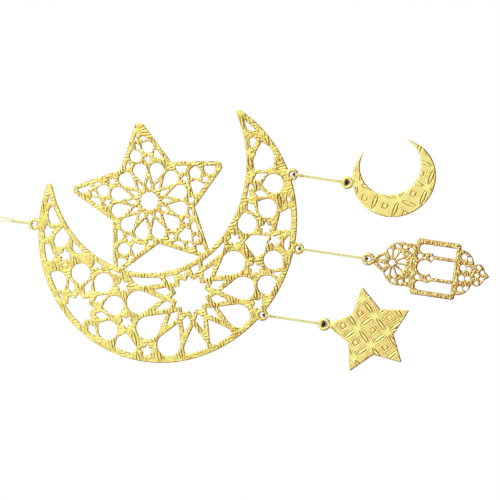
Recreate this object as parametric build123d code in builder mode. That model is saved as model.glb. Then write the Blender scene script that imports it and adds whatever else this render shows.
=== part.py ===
"""Hanging Eid ornament: a pierced crescent with a star, three charms below it and their threads.

Millimetres. The ornament hangs in the XZ plane with its front towards -Y. The origin is the
place where a hook bears inside the top of the hanging loop.
"""
import os
from math import acos, atan2, cos, degrees, hypot, radians, sin, sqrt, tan

from build123d import *

# Sheet and rings
sheet_thickness = 1.2
ring_outer_radius = 2.4
charm_ring_outer_radius = 2.6
ring_hole_radius = 1.05

# Thread
thread_diameter = 0.5
thread_sides = 8
thread_clearance = 0.12
thread_pair_gap = 0.04
joint_gap = 0.1
knot_radius = 0.75
knot_depth = 4.3
throat_height = 4.2
strand_spread = 0.36
bight_radii = [1.5, 0.5, 0.5, 1.5]

# Hanging loop
hang_drop = 45.0
wrap_start = 3.8
wrap_radius = 0.55
wrap_length = 4.6
wrap_chamfer = 0.25
loop_half_width = 3.3
loop_top_half_width = 1.4
loop_shoulder_drop = 3.6

# Crescent outline, placed from the centre of the top ring
outer_centre = (6.9, -52.9)
outer_axes = (55.1, 51.2)
outer_turn = -13.5
inner_centre = (31.3, -41.3)
inner_axes = (44.5, 39.3)
inner_turn = 10.2
horn_tip_radius = 1.2
outer_band = 2.4
inner_band = 2.0

# Five-pointed star inside the crescent, joined to its inner band by two tips
star_tip_radius = 34.2
star_notch_radius = 17.5
star_tip_fillet = 2.2
star_frame = 1.8
joined_tips = (162.0, 234.0)
star_seat_depth = 1.64

# Rings below the crescent, and how far the rings of the charms hang below them
crescent_ring_at = (34.9, -99.1)
lantern_ring_at = (5.9, -105.7)
star_ring_at = (-22.5, -95.5)
crescent_thread_drop = 22.1
lantern_thread_drop = 28.4
star_thread_drop = 25.0

# Tracery: twelve-fold and nine-fold rosettes on one hexagonal lattice, a little stretched
tracery_centre = (-18.9, -66.0)
tracery_turn = -75.0
tracery_pitch = 46.0
stretch = (1.015, 0.975)
stretch_turn = -18.5
star_tracery_shift = (-0.3, 0.9)
star_tracery_turn = -34.5
star_tracery_scale = 0.6
twelve_star = (7.8, 5.9)
star_middle_star = (6.7, 5.5)
twelve_kite = (8.2, 10.4, 1.7, 15.2)
twelve_petal = (12.2, 21.4, 4.6)
nine_star = (6.6, 4.8)
nine_kite = (7.2, 9.4, 1.5, 13.2)
nine_petal = (10.0, 14.8, 3.8)
small_star = (2.8, 1.4)
small_star_from_twelve = 28.0
small_star_from_nine = 20.0
shield_near = 29.6
shield_shoulder = 33.6
shield_tip = 38.8
shield_half_widths = (3.8, 4.4)
shield_mirror = 81.6
smallest_hole = 1.6
upper_horn_corner = (-13.0, -20.5)
lower_horn_edge = 37.0

# Openings of the two horns, where they are too narrow for the lattice
upper_horn_openings = [
    [(13.7, -3.5), (9.9, -5.3), (8.7, -3.4), (11.6, -3.0)],
    [(8.7, -6.3), (2.3, -10.9), (0.9, -6.7), (2.6, -5.5), (5.2, -4.9), (7.0, -5.2)],
    [(0.5, -11.6), (-2.0, -14.8), (-4.7, -14.5), (-7.4, -13.0), (-7.6, -9.8), (-5.6, -8.6), (-2.5, -9.3)],
    [(-7.8, -4.4), (-6.8, -6.7), (-11.8, -10.0), (-12.9, -9.2), (-14.4, -6.5)],
    [(-4.1, -16.2), (-7.7, -20.7), (-9.0, -19.9), (-9.0, -18.1), (-7.7, -16.7)],
]
upper_horn_stars = [(-2.1, -5.9), (-10.6, -14.1)]
upper_horn_star_turn = 90.0
lower_horn_openings = [
    [(53.9, -76.7), (50.4, -83.1), (49.7, -80.5), (50.0, -78.7), (52.0, -77.6)],
    [(48.9, -84.7), (47.0, -87.0), (46.4, -86.0), (47.7, -84.4)],
    [(47.3, -81.1), (46.4, -82.9), (44.5, -82.5), (43.1, -81.3), (45.6, -79.7)],
    [(26.2, -98.5), (24.5, -100.4), (23.6, -99.1), (24.6, -98.4)],
    [(45.9, -85.1), (43.8, -89.9), (42.3, -90.9), (36.7, -91.2), (34.9, -84.1), (37.5, -83.4), (42.0, -83.5)],
]

# Small solid crescent, placed from its ring
small_outer_centre = (4.75, -18.4)
small_outer_axes = (16.85, 15.7)
small_outer_turn = -61.9
small_inner_centre = (9.25, -16.2)
small_inner_axes = (12.4, 11.6)
small_inner_turn = -56.0
small_horn_tip_radius = 0.12

# Small solid star, placed from its ring
small_star_drop = 18.4
small_star_tip_radius = 18.1
small_star_notch_radius = 9.7
small_star_tip_fillet = 0.5

# Lantern, placed from its ring: a dome, a box with arched windows under its eave, a base and a finial
neck_half_width = 1.3
neck_drop = 2.0
dome_start = (4.4, -6.6)
dome_bulge = (8.1, -9.9)
dome_waist = (8.7, -14.0)
eave_drop = 17.2
eave_half_width = 8.6
box_half_width = 11.3
box_corner_radius = 1.2
box_frame = 2.1
head_drop = 5.6
head_radius = 2.95
head_pinch_half_width = 2.0
shoulder_drop = 3.2
window_half_width = 3.7
window_height = 11.7
column_width = 1.4
side_pinch_inset = 1.0
side_head_inset = 0.5
box_floor = 1.8
base_half_width = 9.2
base_height = 6.0
base_waist_half_width = 4.0
finial_half_width = 4.6
finial_shoulder_drop = 2.1
finial_neck_half_width = 1.8
finial_neck_drop = 4.7
finial_drop = 6.7

# Round holes of the lantern as x, drop and radius, and the petals round the middle of its dome
dome_centre_drop = 9.5
dome_hole_radius = 1.2
petal_count = 8
petal_fan = 212.0
petal_tip_reach = 1.9
petal_middle_reach = 4.75
petal_radius = 0.9
collar_hole = [(0.6, 3.7), (2.7, 6.3), (1.0, 7.0)]
dome_holes = [(7.0, 10.8, 0.75), (7.0, 13.8, 0.75), (6.1, 16.5, 0.75)]
spandrel_hole = (4.2, 2.5, 1.0)
capital_hole = (4.0, 2.1, 0.7)
base_holes = [(2.1, 1.6, 1.2), (6.5, 1.6, 1.1), (1.9, 4.0, 0.95), (5.9, 3.9, 0.9)]
finial_holes = [(3.2, 1.8, 0.75), (1.3, 3.6, 0.75)]
finial_axis_hole = (1.3, 0.7)

os.makedirs("parts", exist_ok=True)


def hanging_plane(x, z):
    """Upright plane with its front towards -Y, whose origin is at x, z."""
    return Plane(origin=(x, 0, z), x_dir=(1, 0, 0), z_dir=(0, -1, 0))


def turned(point, angle):
    """Point turned about the origin."""
    a = radians(angle)
    return (point[0] * cos(a) - point[1] * sin(a), point[0] * sin(a) + point[1] * cos(a))


def spot(centre, angle, along, across=0.0):
    """Point at a distance along and across a direction from a centre."""
    step = turned((along, across), angle)
    return (centre[0] + step[0], centre[1] + step[1])


def star_points(centre, count, angle, tip_radius, notch_radius):
    """Corners of a star, tips and notches in turn."""
    radii = (tip_radius, notch_radius)
    return [spot(centre, angle + 180 * k / count, radii[k % 2]) for k in range(2 * count)]


def little_star(centre, angle):
    """Five-pointed opening between the rosettes."""
    return (star_points(centre, 5, angle, *small_star), None)


def rosette(centre, count, angle, star, kite, petal):
    """Openings of a star, with a kite and a petal for each of its points."""
    near, middle, half_width, far = kite
    kite_corners = [(near, 0), (middle, half_width), (far, 0), (middle, -half_width)]
    tip, round_centre, radius = petal
    openings = [(star_points(centre, count, angle, *star), None)]
    for k in range(count):
        way = angle + 360 * k / count
        openings.append(([spot(centre, way, tip), spot(centre, way, round_centre)], radius))
        between = way + 180 / count
        openings.append(([spot(centre, between, *corner) for corner in kite_corners], None))
    return openings


def tracery(middle_star):
    """Openings of the lattice round one twelve-fold rosette at the origin."""
    openings = rosette((0, 0), 12, 0, middle_star, twelve_kite, twelve_petal)
    for k in range(12):
        way = 15 + 30 * k
        openings.append(little_star(spot((0, 0), way, small_star_from_twelve), way))
    for k in range(6):
        nine = spot((0, 0), 60 * k, tracery_pitch)
        openings += rosette(nine, 9, 60 * k + 180, nine_star, nine_kite, nine_petal)
        for side in (60, 180, 300):
            way = 60 * k + 180 + side
            openings.append(little_star(spot(nine, way, small_star_from_nine), way))
    near_half, shoulder_half = shield_half_widths
    shield = [(shield_near, near_half), (shield_shoulder, shoulder_half), (shield_tip, 0)]
    shield += [(shield_shoulder, -shoulder_half), (shield_near, -near_half)]
    for k in range(6):
        way = 30 + 60 * k
        openings.append(([spot((0, 0), way, *corner) for corner in shield], None))
        facing = [(shield_mirror - along, across) for along, across in shield]
        openings.append(([spot((0, 0), way, *corner) for corner in facing], None))
    return openings


def placed(openings, centre, angle, scale, stretch):
    """Openings turned, stretched along and across the crescent, and put at a centre."""
    def move(point):
        along, across = turned(point, angle - stretch_turn)
        step = turned((along * stretch[0], across * stretch[1]), stretch_turn)
        return (centre[0] + scale * step[0], centre[1] + scale * step[1])
    return [([move(p) for p in points], radius and radius * scale) for points, radius in openings]


def in_horns(points):
    """True for openings that lie where the horns have openings of their own."""
    x = sum(p[0] for p in points) / len(points)
    z = sum(p[1] for p in points) / len(points)
    return x > lower_horn_edge or (x > upper_horn_corner[0] and z > upper_horn_corner[1])


def opening_face(points, radius):
    """Flat face of an opening: straight-sided, or a drop when it has a radius."""
    if radius is None:
        return Polygon(*points, align=None, mode=Mode.PRIVATE)
    tip, middle = points
    length = hypot(middle[0] - tip[0], middle[1] - tip[1])
    back = degrees(atan2(tip[1] - middle[1], tip[0] - middle[0]))
    half_angle = degrees(acos(radius / length))
    start = spot(middle, back - half_angle, radius)
    end = spot(middle, back + half_angle, radius)
    with BuildSketch() as drop:
        with BuildLine():
            Polyline(end, tip, start)
            ThreePointArc(start, spot(middle, back + 180, radius), end)
        make_face()
    return drop.sketch


def clipped(openings, field):
    """Openings cut to a field, without the slivers that are too small to pierce."""
    with BuildSketch() as cut:
        add([opening_face(*opening) for opening in openings])
        add(field, mode=Mode.INTERSECT)
    return [face for face in cut.sketch.faces() if face.area > smallest_hole]


def seated_centre(reach):
    """Centre of a star whose joined tips, at this reach, end on an ellipse inside the inner band.

    The centre lies on two copies of that ellipse, each moved back by one tip. With the ellipse
    drawn as a unit circle, it is where two circles cross.
    """
    axes = [axis + star_seat_depth for axis in inner_axes]
    steps = [turned((reach, 0), angle - inner_turn) for angle in joined_tips]
    first, second = [(-step[0] / axes[0], -step[1] / axes[1]) for step in steps]
    half = ((second[0] - first[0]) / 2, (second[1] - first[1]) / 2)
    rise = sqrt(1 / (half[0] ** 2 + half[1] ** 2) - 1)
    unit = (first[0] + half[0] - rise * half[1], first[1] + half[1] + rise * half[0])
    step = turned((unit[0] * axes[0], unit[1] * axes[1]), inner_turn)
    return (inner_centre[0] + step[0], inner_centre[1] + step[1])


def tube(points, radii=None):
    """Thread along straight runs; without given radii each bend is as wide as its runs allow."""
    route = [Vector(*point) for point in points]
    runs = [after - before for before, after in zip(route, route[1:])]
    if radii is None:
        half_turns = [radians(a.get_angle(b)) / 2 for a, b in zip(runs, runs[1:])]
        shorter = [min(a.length, b.length) for a, b in zip(runs, runs[1:])]
        radii = [0.45 * run / tan(half) for run, half in zip(shorter, half_turns)]
    with BuildPart() as solid:
        with BuildLine() as path:
            FilletPolyline(*route, radius=radii)
        way = path.wire()
        with BuildSketch(Plane(origin=way @ 0, z_dir=way % 0)):
            RegularPolygon(thread_diameter / 2, thread_sides)
        sweep(path=way)
    print("thread bends", [round(r, 2) for r in radii], "length", round(way.length, 2))
    return solid.part


def bight(rim_radius, reach, throat):
    """Side view of a thread round a ring's rim: out from the throat, through the hole and back."""
    beside = sheet_thickness / 2 + thread_clearance + thread_diameter / 2
    inside = ring_hole_radius - thread_clearance - thread_diameter / 2
    half = [(throat, reach), (beside, rim_radius + thread_clearance), (beside, inside)]
    return half + [(-across, along) for across, along in half[::-1]]


def save(piece, name):
    """Names a finished piece and writes it."""
    piece.label = name
    export_step(piece, f"parts/{name}.step")


top_ring = (0.0, -hang_drop)
plate_plane = hanging_plane(*top_ring)
plate_rings = [(0.0, 0.0), crescent_ring_at, lantern_ring_at, star_ring_at]
pair_offset = thread_diameter / 2 + thread_pair_gap / 2
notch_half = star_notch_radius * sin(radians(36))
tip_half_angle = atan2(notch_half, star_tip_radius - star_notch_radius * cos(radians(36)))
rounded_reach = star_tip_radius - star_tip_fillet * (1 / sin(tip_half_angle) - 1)
star_centre = seated_centre(rounded_reach)
star_tracery_centre = (star_centre[0] + star_tracery_shift[0], star_centre[1] + star_tracery_shift[1])
print("star centre", [round(value, 2) for value in star_centre])

# Fields that the openings of the crescent and of the star keep to
with BuildSketch() as crescent_field:
    with Locations(outer_centre):
        Ellipse(outer_axes[0] - outer_band, outer_axes[1] - outer_band, rotation=outer_turn)
    with Locations(inner_centre):
        Ellipse(
            inner_axes[0] + inner_band,
            inner_axes[1] + inner_band,
            rotation=inner_turn,
            mode=Mode.SUBTRACT,
        )
    with Locations(plate_rings):
        Circle(ring_outer_radius, mode=Mode.SUBTRACT)

with BuildSketch() as star_outline:
    Polygon(*star_points(star_centre, 5, 90, star_tip_radius, star_notch_radius), align=None)
    corners = star_outline.vertices().sort_by_distance(Vector(*star_centre))
    fillet(corners[-5:], radius=star_tip_fillet)

with BuildSketch() as star_field:
    add(star_outline.sketch)
    offset(amount=-star_frame, kind=Kind.INTERSECTION, mode=Mode.REPLACE)
    with Locations(inner_centre):
        Ellipse(*inner_axes, rotation=inner_turn, mode=Mode.INTERSECT)

lattice = placed(tracery(twelve_star), tracery_centre, tracery_turn, 1.0, stretch)
lattice = [opening for opening in lattice if not in_horns(opening[0])]
lattice += [(points, None) for points in upper_horn_openings + lower_horn_openings]
lattice += [little_star(place, upper_horn_star_turn) for place in upper_horn_stars]
star_lattice = tracery(star_middle_star)
star_lattice = placed(star_lattice, star_tracery_centre, star_tracery_turn, star_tracery_scale, (1.0, 1.0))
plate_openings = clipped(lattice, crescent_field.sketch)
plate_openings += clipped(star_lattice, star_field.sketch)

# Crescent and star, pierced from one sheet, with the rings for the threads
with BuildPart() as crescent_plate:
    with BuildSketch(plate_plane):
        with Locations(outer_centre):
            Ellipse(*outer_axes, rotation=outer_turn)
        with Locations(inner_centre):
            Ellipse(*inner_axes, rotation=inner_turn, mode=Mode.SUBTRACT)
    extrude(amount=sheet_thickness / 2, both=True)
    fillet(crescent_plate.edges().filter_by(Axis.Y), radius=horn_tip_radius)
    with BuildSketch(plate_plane):
        add(star_outline.sketch)
        with Locations(plate_rings):
            Circle(ring_outer_radius)
    extrude(amount=sheet_thickness / 2, both=True)
    with BuildSketch(plate_plane):
        add(plate_openings)
        with Locations(plate_rings):
            Circle(ring_hole_radius)
    extrude(amount=sheet_thickness / 2, both=True, mode=Mode.SUBTRACT)
save(crescent_plate.part, "crescent_plate")

# Where the rings of the three charms hang
charm_rings = {
    "crescent": (crescent_ring_at, crescent_thread_drop),
    "lantern": (lantern_ring_at, lantern_thread_drop),
    "star": (star_ring_at, star_thread_drop),
}
charm_planes = {
    name: hanging_plane(ring[0], ring[1] - drop - hang_drop) for name, (ring, drop) in charm_rings.items()
}

# Small crescent, solid
with BuildPart() as crescent_charm:
    with BuildSketch(charm_planes["crescent"]):
        with Locations(small_outer_centre):
            Ellipse(*small_outer_axes, rotation=small_outer_turn)
        with Locations(small_inner_centre):
            Ellipse(*small_inner_axes, rotation=small_inner_turn, mode=Mode.SUBTRACT)
    extrude(amount=sheet_thickness / 2, both=True)
    fillet(crescent_charm.edges().filter_by(Axis.Y), radius=small_horn_tip_radius)
    with BuildSketch(charm_planes["crescent"]):
        Circle(charm_ring_outer_radius)
    extrude(amount=sheet_thickness / 2, both=True)
    with BuildSketch(charm_planes["crescent"]):
        Circle(ring_hole_radius)
    extrude(amount=sheet_thickness / 2, both=True, mode=Mode.SUBTRACT)
save(crescent_charm.part, "crescent_charm")

# Small star, solid
with BuildPart() as star_charm:
    with BuildSketch(charm_planes["star"]) as star_face:
        small_centre = (0.0, -small_star_drop)
        Polygon(
            *star_points(small_centre, 5, 90, small_star_tip_radius, small_star_notch_radius),
            align=None,
        )
        corners = star_face.vertices().sort_by_distance(Vector(*small_centre))
        fillet(corners[-5:], radius=small_star_tip_fillet)
        Circle(charm_ring_outer_radius)
        Circle(ring_hole_radius, mode=Mode.SUBTRACT)
    extrude(amount=sheet_thickness / 2, both=True)
save(star_charm.part, "star_charm")

# Levels of the lantern, counted downwards from its ring
box_top = eave_drop + 2 * box_corner_radius
head_level = eave_drop + head_drop
sill_level = head_level + window_height
box_bottom = sill_level + box_floor
base_bottom = box_bottom + base_height
corner_in = box_half_width - box_corner_radius
corner_cut = box_corner_radius * (1 - sqrt(0.5))

# Outline of the lantern's right half, from the ring down to the finial's tip
with BuildSketch() as lantern_outline:
    with BuildLine():
        Polyline((0, 0), (neck_half_width, -neck_drop), dome_start)
        ThreePointArc(dome_start, dome_bulge, dome_waist)
        Line(dome_waist, (eave_half_width, -eave_drop))
        ThreePointArc(
            (eave_half_width, -eave_drop),
            (eave_half_width + 0.6, -eave_drop - 0.8 * box_corner_radius),
            (corner_in, -box_top + box_corner_radius),
        )
        ThreePointArc(
            (corner_in, -box_top + box_corner_radius),
            (box_half_width - corner_cut, -box_top + box_corner_radius - corner_cut),
            (box_half_width, -box_top),
        )
        Line((box_half_width, -box_top), (box_half_width, -box_bottom + box_corner_radius))
        ThreePointArc(
            (box_half_width, -box_bottom + box_corner_radius),
            (box_half_width - corner_cut, -box_bottom + corner_cut),
            (corner_in, -box_bottom),
        )
        Line((corner_in, -box_bottom), (base_half_width, -box_bottom))
        ThreePointArc(
            (base_half_width, -box_bottom),
            (0.87 * base_half_width, -box_bottom - 0.6 * base_height),
            (base_waist_half_width, -base_bottom),
        )
        Line((base_waist_half_width, -base_bottom), (finial_half_width, -base_bottom - finial_shoulder_drop))
        ThreePointArc(
            (finial_half_width, -base_bottom - finial_shoulder_drop),
            (0.76 * finial_half_width, -base_bottom - 0.8 * finial_neck_drop),
            (finial_neck_half_width, -base_bottom - finial_neck_drop),
        )
        Polyline((finial_neck_half_width, -base_bottom - finial_neck_drop), (0, -base_bottom - finial_drop), (0, 0))
    make_face()
    mirror(about=Plane.YZ)
    Circle(charm_ring_outer_radius)

# Arched windows and small holes of the lantern
pinch_drop = sqrt(head_radius**2 - head_pinch_half_width**2)
side_inner = window_half_width + column_width
side_outer = box_half_width - box_frame
side_head_inner = side_inner + side_head_inset
side_head_radius = (side_outer - side_head_inner) / 2
side_head_level = head_level - head_radius + side_head_radius
with BuildSketch() as lantern_openings:
    with BuildLine():
        ThreePointArc(
            (-head_pinch_half_width, -head_level - pinch_drop),
            (0, head_radius - head_level),
            (head_pinch_half_width, -head_level - pinch_drop),
        )
        Polyline(
            (head_pinch_half_width, -head_level - pinch_drop),
            (window_half_width, -head_level - shoulder_drop),
            (window_half_width, -sill_level),
            (-window_half_width, -sill_level),
            (-window_half_width, -head_level - shoulder_drop),
            (-head_pinch_half_width, -head_level - pinch_drop),
        )
    make_face()
    with BuildLine():
        ThreePointArc(
            (side_head_inner, -side_head_level),
            (side_outer - side_head_radius, side_head_radius - side_head_level),
            (side_outer, -side_head_level),
        )
        Polyline(
            (side_outer, -side_head_level),
            (side_outer, -sill_level),
            (side_inner, -sill_level),
            (side_inner, -head_level - shoulder_drop),
            (side_inner + side_pinch_inset, -head_level - pinch_drop),
            (side_head_inner, -side_head_level),
        )
    side_window = make_face()
    mirror(side_window, about=Plane.YZ)
    round_holes = [(x, drop, radius) for x, drop, radius in dome_holes]
    round_holes += [(spandrel_hole[0], head_level - spandrel_hole[1], spandrel_hole[2])]
    round_holes += [(capital_hole[0], head_level + capital_hole[1], capital_hole[2])]
    round_holes += [(x, box_bottom + drop, radius) for x, drop, radius in base_holes]
    round_holes += [(x, base_bottom + drop, radius) for x, drop, radius in finial_holes]
    for x, drop, radius in round_holes:
        with Locations((x, -drop), (-x, -drop)):
            Circle(radius)
    with Locations((0, -base_bottom - finial_axis_hole[0])):
        Circle(finial_axis_hole[1])
    dome_centre = (0, -dome_centre_drop)
    with Locations(dome_centre):
        Circle(dome_hole_radius)
    for k in range(petal_count):
        way = petal_fan * (k / (petal_count - 1) - 0.5) - 90
        ends = [spot(dome_centre, way, reach) for reach in (petal_tip_reach, petal_middle_reach)]
        add(opening_face(ends, petal_radius))
    collar = [(x, -drop) for x, drop in collar_hole]
    add(opening_face(collar, None))
    add(opening_face([(-x, z) for x, z in collar], None))

# Lantern, pierced from the same sheet
with BuildPart() as lantern_charm:
    with BuildSketch(charm_planes["lantern"]):
        add(lantern_outline.sketch)
        add(lantern_openings.sketch, mode=Mode.SUBTRACT)
        Circle(ring_hole_radius, mode=Mode.SUBTRACT)
    extrude(amount=sheet_thickness / 2, both=True)
save(lantern_charm.part, "lantern_charm")

# Threads of the charms: a bight and a knot at the crescent, two strands, and a bight at the charm
for name, (ring, drop) in charm_rings.items():
    x = ring[0]
    upper_z = ring[1] - hang_drop
    lower_z = upper_z - drop
    knot_z = upper_z - knot_depth

    side = bight(ring_outer_radius, knot_depth - knot_radius / 2, pair_offset)
    upper_bight = tube([(x, across, upper_z - along) for across, along in side], bight_radii)
    save(upper_bight, f"{name}_upper_bight")

    with BuildPart() as knot:
        with Locations((x, 0, knot_z)):
            Sphere(knot_radius)
    save(knot.part, f"{name}_knot")

    strand_top = knot_z - knot_radius - joint_gap
    strand_bottom = lower_z + throat_height + joint_gap
    strand_middle = (strand_top + strand_bottom) / 2
    with BuildPart() as strands:
        add(
            tube([
                (x + pair_offset, 0, strand_top),
                (x + strand_spread, 0, strand_middle),
                (x + pair_offset, 0, strand_bottom),
            ])
        )
        mirror(about=Plane.YZ.offset(x))
    save(strands.part, f"{name}_strands")

    side = bight(charm_ring_outer_radius, throat_height, 0)
    loop = [(x, across, lower_z + along) for across, along in side]
    loop[0] = (x + pair_offset, 0, lower_z + throat_height)
    loop[-1] = (x - pair_offset, 0, lower_z + throat_height)
    lower_bight = tube(loop, bight_radii)
    save(lower_bight, f"{name}_lower_bight")

# Hanging thread: a bight at the top ring, a whipped neck, and the loop for the hook
side = bight(ring_outer_radius, wrap_start + wrap_radius, pair_offset)
hanging_bight = tube([(0, across, along - hang_drop) for across, along in side], bight_radii)
save(hanging_bight, "hanging_bight")

with BuildPart() as hanging_wrap:
    with Locations((0, 0, wrap_start + wrap_length / 2 - hang_drop)):
        Cylinder(wrap_radius, wrap_length)
    chamfer(hanging_wrap.edges().filter_by(GeomType.CIRCLE), length=wrap_chamfer)
save(hanging_wrap.part, "hanging_wrap")

loop_start = wrap_start + wrap_length + joint_gap - hang_drop
loop_top = thread_diameter / 2
right_half = [
    (pair_offset, 0, loop_start),
    (loop_half_width, 0, loop_top - loop_shoulder_drop),
    (loop_top_half_width, 0, loop_top),
]
hanging_loop = tube(right_half + [(-px, py, pz) for px, py, pz in right_half[::-1]])
save(hanging_loop, "hanging_loop")
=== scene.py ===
# %% [markdown]
# # A hanging crescent in embossed gold sheet
#
# The ornament is flat metal: a pierced crescent with a star in its curve, and three charms on
# threads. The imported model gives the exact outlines, the joints and every place.
# What it lacks is the skin: stamped relief, soft cut edges, the twist of the thread and the
# colour of gold. This lesson adds that skin, one piece at a time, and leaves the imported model
# where it is.

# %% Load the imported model
from math import cos, pi, radians, sin

import bpy
import numpy as np
from mathutils import Matrix, Vector
from mathutils.geometry import delaunay_2d_cdt


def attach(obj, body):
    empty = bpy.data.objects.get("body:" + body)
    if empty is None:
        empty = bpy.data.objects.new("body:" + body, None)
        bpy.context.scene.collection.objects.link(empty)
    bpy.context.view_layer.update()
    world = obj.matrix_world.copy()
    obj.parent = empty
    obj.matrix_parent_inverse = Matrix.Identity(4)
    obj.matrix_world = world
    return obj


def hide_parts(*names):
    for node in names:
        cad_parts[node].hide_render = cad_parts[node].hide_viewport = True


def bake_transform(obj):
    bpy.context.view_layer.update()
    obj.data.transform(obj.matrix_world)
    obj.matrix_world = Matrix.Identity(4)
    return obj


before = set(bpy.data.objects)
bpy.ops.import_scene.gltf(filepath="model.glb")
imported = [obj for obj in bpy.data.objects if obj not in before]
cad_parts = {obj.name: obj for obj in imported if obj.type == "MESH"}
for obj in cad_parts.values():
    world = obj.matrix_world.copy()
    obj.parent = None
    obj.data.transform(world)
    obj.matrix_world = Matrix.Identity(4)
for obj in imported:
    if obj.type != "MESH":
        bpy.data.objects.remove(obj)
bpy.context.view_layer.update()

scene = bpy.context.scene
MM = 0.001

# %% [markdown]
# ## The viewpoint
#
# The picture shows the ornament from straight in front, turned so that its top points left.
# A hanging object stays upright in its own frame, so the camera turns instead.
# Its three axes are written down directly: right and up of the picture, and the way back to the
# camera. A long lens from over a metre away keeps the sheet free of perspective.

# %% Place the camera
tilt = radians(8.5)
picture_right = Vector((sin(tilt), 0, -cos(tilt)))
picture_up = Vector((cos(tilt), 0, sin(tilt)))
towards_camera = Vector((0, -1, 0))
picture_centre = Vector((2.46, 0, -131.8)) * MM
picture_width = 0.2
camera_distance = 1.2
sensor_width = 36

camera_data = bpy.data.cameras.new("camera")
camera_data.sensor_width = sensor_width
camera_data.lens = sensor_width * camera_distance / picture_width
camera = bpy.data.objects.new("camera", camera_data)
turn = Matrix((picture_right, picture_up, towards_camera)).transposed().to_4x4()
camera.matrix_world = Matrix.Translation(picture_centre + towards_camera * camera_distance) @ turn
scene.collection.objects.link(camera)
scene.camera = camera
print("camera lens", round(camera_data.lens), "mm")

# %% [markdown]
# ## Meshes from whole arrays
#
# Every new piece ends as two arrays: points, and triangles that name three points each.
# One helper hands both to Blender at once, which is much faster than adding vertices in turn.
# Points are kept in millimetres while they are worked out, and become metres here.
# A piece can also carry values of its own, one number a point. Its material reads them later, so
# the shape itself says where a groove or a worn place is.
# The last helper turns a distance into a share from 0 to 1, for the soft transitions below.

# %% Helpers for meshes
def piece_from_arrays(name, points, triangles, **attributes):
    """Object with these points, in millimetres, and triangles. Attributes hold a number a point."""
    mesh = bpy.data.meshes.new(name)
    mesh.vertices.add(len(points))
    mesh.vertices.foreach_set("co", (np.asarray(points) * MM).astype(np.float32).ravel())
    mesh.loops.add(triangles.size)
    mesh.loops.foreach_set("vertex_index", triangles.astype(np.int32).ravel())
    mesh.polygons.add(len(triangles))
    mesh.polygons.foreach_set("loop_start", np.arange(0, triangles.size, 3, dtype=np.int32))
    mesh.update(calc_edges=True)
    mesh.polygons.foreach_set("use_smooth", np.ones(len(triangles), bool))
    for label, values in attributes.items():
        layer = mesh.attributes.new(label, "FLOAT", "POINT")
        layer.data.foreach_set("value", values.astype(np.float32))
    mesh.validate()
    piece = bpy.data.objects.new(name, mesh)
    scene.collection.objects.link(piece)
    print(name, len(points), "points", len(triangles), "triangles")
    return piece


def wrapped_grid(rows, columns):
    """Triangles of a tube: a grid of rows by columns, closed round its columns."""
    row, column = np.meshgrid(np.arange(rows - 1), np.arange(columns), indexing="ij")
    a = row * columns + column
    b = row * columns + (column + 1) % columns
    return np.concatenate([
        np.stack([a, b, b + columns], axis=-1).reshape(-1, 3),
        np.stack([a, b + columns, a + columns], axis=-1).reshape(-1, 3),
    ])


def share_between(values, none, full):
    """Share that is 0 up to the limit none, 1 from the limit full on, and straight between."""
    return np.clip((values - none) / (full - none), 0, 1)


print("a tube of 3 rings with 4 points has", len(wrapped_grid(3, 4)), "triangles")

# %% [markdown]
# ## The threads
#
# Each charm hangs on one doubled metallic thread: down from its knot, through the charm's eyelet
# and up again. A bent cylinder would look like wire. Real thread lies in one smooth line, so the
# route's few corner points become the control points of a NURBS spline, and the thread follows
# the line that the spline gives.

# %% Where the threads run, and a smooth line along a route
thread_diameter = 0.5
# For each charm: x, height of the upper eyelet, drop to the charm's eyelet, thread in metres.
charm_threads = {
    "crescent": (34.9, -144.1, 22.1, 0.0344),
    "lantern": (5.9, -150.7, 28.4, 0.0470),
    "star": (-22.5, -140.5, 25.0, 0.0402),
}
eyelets = [(0.0, -45.0)]
eyelets += [(x, upper) for x, upper, drop, length in charm_threads.values()]
eyelets += [(x, upper - drop) for x, upper, drop, length in charm_threads.values()]


def eyelet_distance(x, z):
    """Distance from each point of the sheet's plane to the nearest eyelet's centre."""
    return np.min([np.hypot(x - middle, z - level) for middle, level in eyelets], axis=0)


def there_and_back(x, half):
    """Route along half its points and back: the second half is the first, turned about x."""
    return half + [(2 * x - side, -depth, height) for side, depth, height in reversed(half)]


def spline_through(route, steps):
    """Points in millimetres along the NURBS spline that has the route's points as its controls."""
    curve = bpy.data.curves.new("route", "CURVE")
    curve.dimensions = "3D"
    spline = curve.splines.new("NURBS")
    spline.points.add(len(route) - 1)
    controls = np.column_stack([np.array(route) * MM, np.ones(len(route))])
    spline.points.foreach_set("co", controls.ravel())
    spline.order_u = 3
    spline.use_endpoint_u = True
    spline.resolution_u = steps
    holder = bpy.data.objects.new("route", curve)
    line = bpy.data.meshes.new_from_object(holder)
    points = np.empty(len(line.vertices) * 3)
    line.vertices.foreach_get("co", points)
    bpy.data.objects.remove(holder)
    bpy.data.curves.remove(curve)
    bpy.data.meshes.remove(line)
    return points.reshape(-1, 3) / MM


print(len(eyelets), "eyelets, thread", thread_diameter, "mm thick")

# %% [markdown]
# ## Two plies in one tube
#
# The thread is two plies laid round each other. Its cross-section is a rounded two-lobed shape that
# turns as it goes along, which is one formula of two parameters: length and angle.
# Each point of a thread also knows how far the next eyelet is. Inside an eyelet the thread's colour
# is darkened as painted shade, and just outside it the tight strands show a deeper gold.

# %% Helpers that lay a thread along a line
ply_lay = 1.6
lobe_share = 0.08
dark_from, dark_to = 1.35, 0.95
gilt_starts, gilt_full, gilt_wanes, gilt_ends = 1.6, 2.4, 3.4, 4.6


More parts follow.
